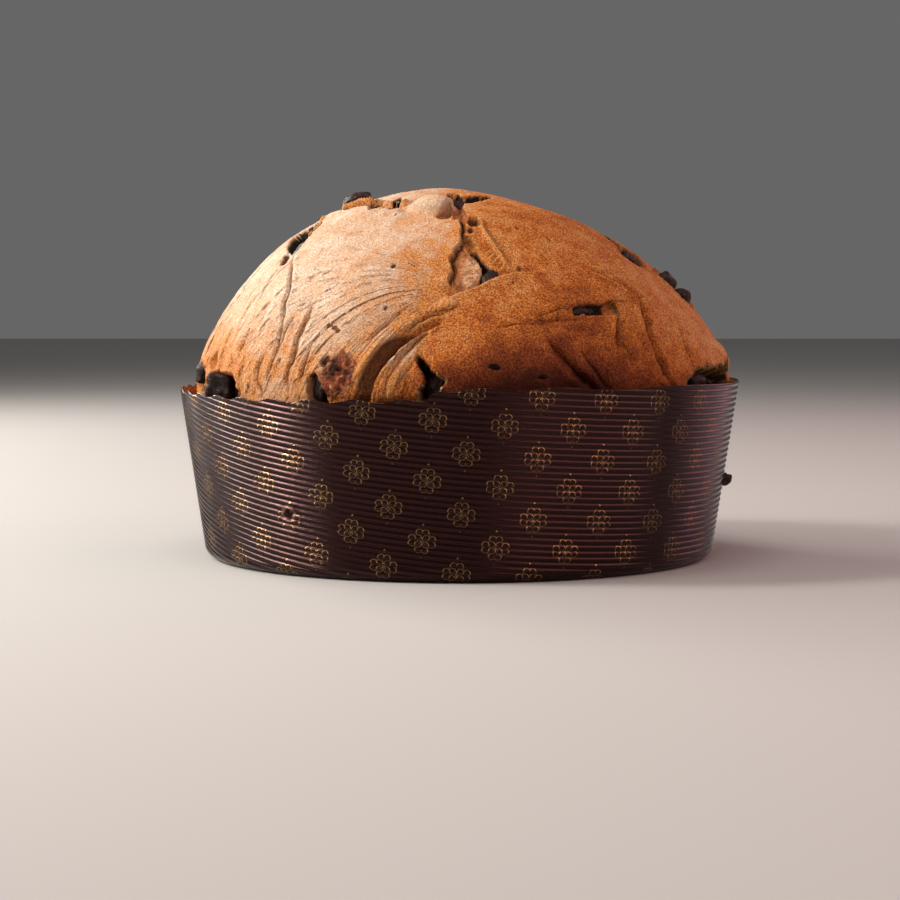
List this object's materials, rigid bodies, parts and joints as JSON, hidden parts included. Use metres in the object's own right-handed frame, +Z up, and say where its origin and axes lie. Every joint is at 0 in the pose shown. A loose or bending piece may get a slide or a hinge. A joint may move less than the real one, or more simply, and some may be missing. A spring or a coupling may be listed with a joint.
{
  "type": "panettone",
  "caption": "Low domed chocolate panettone in its printed, corrugated paper baking case, with the crust torn open under the crown.",
  "frame": {"origin": "centre of the paper case's base, on the surface that it stands on", "axes": "+Z up through the crown, -Y towards the torn front, +X to the right as seen from the front"},
  "size_m": [0.2136, 0.2139, 0.14],
  "materials": {
    "crust": "baked golden-brown crust, dry and finely grained",
    "paper": "dark brown corrugated baking paper with a thin gold print, semi-gloss",
    "chocolate": "dark chocolate, partly melted, dull",
    "crumb": "moist dark crumb pulled out by a skewer"
  },
  "bodies": {
    "root": {"loaf": "crust", "paper_case": "paper", "pulled_crumb": "crumb", "choc_rim_chunk": "chocolate", "choc_rim_left": "chocolate", "choc_crown_left": "chocolate", "choc_right_upper": "chocolate", "choc_right_lower": "chocolate", "choc_left_tear": "chocolate", "choc_slot": "chocolate", "choc_crown_front": "chocolate", "choc_crown_right": "chocolate", "choc_tear_crack": "chocolate", "choc_edge_upper": "chocolate", "choc_edge_lower": "chocolate", "choc_right_rim": "chocolate", "choc_left_slot": "chocolate", "choc_front_rim": "chocolate", "choc_back_1": "chocolate", "choc_back_2": "chocolate", "choc_back_3": "chocolate", "choc_back_4": "chocolate", "choc_back_5": "chocolate"}
  },
  "joints": []
}
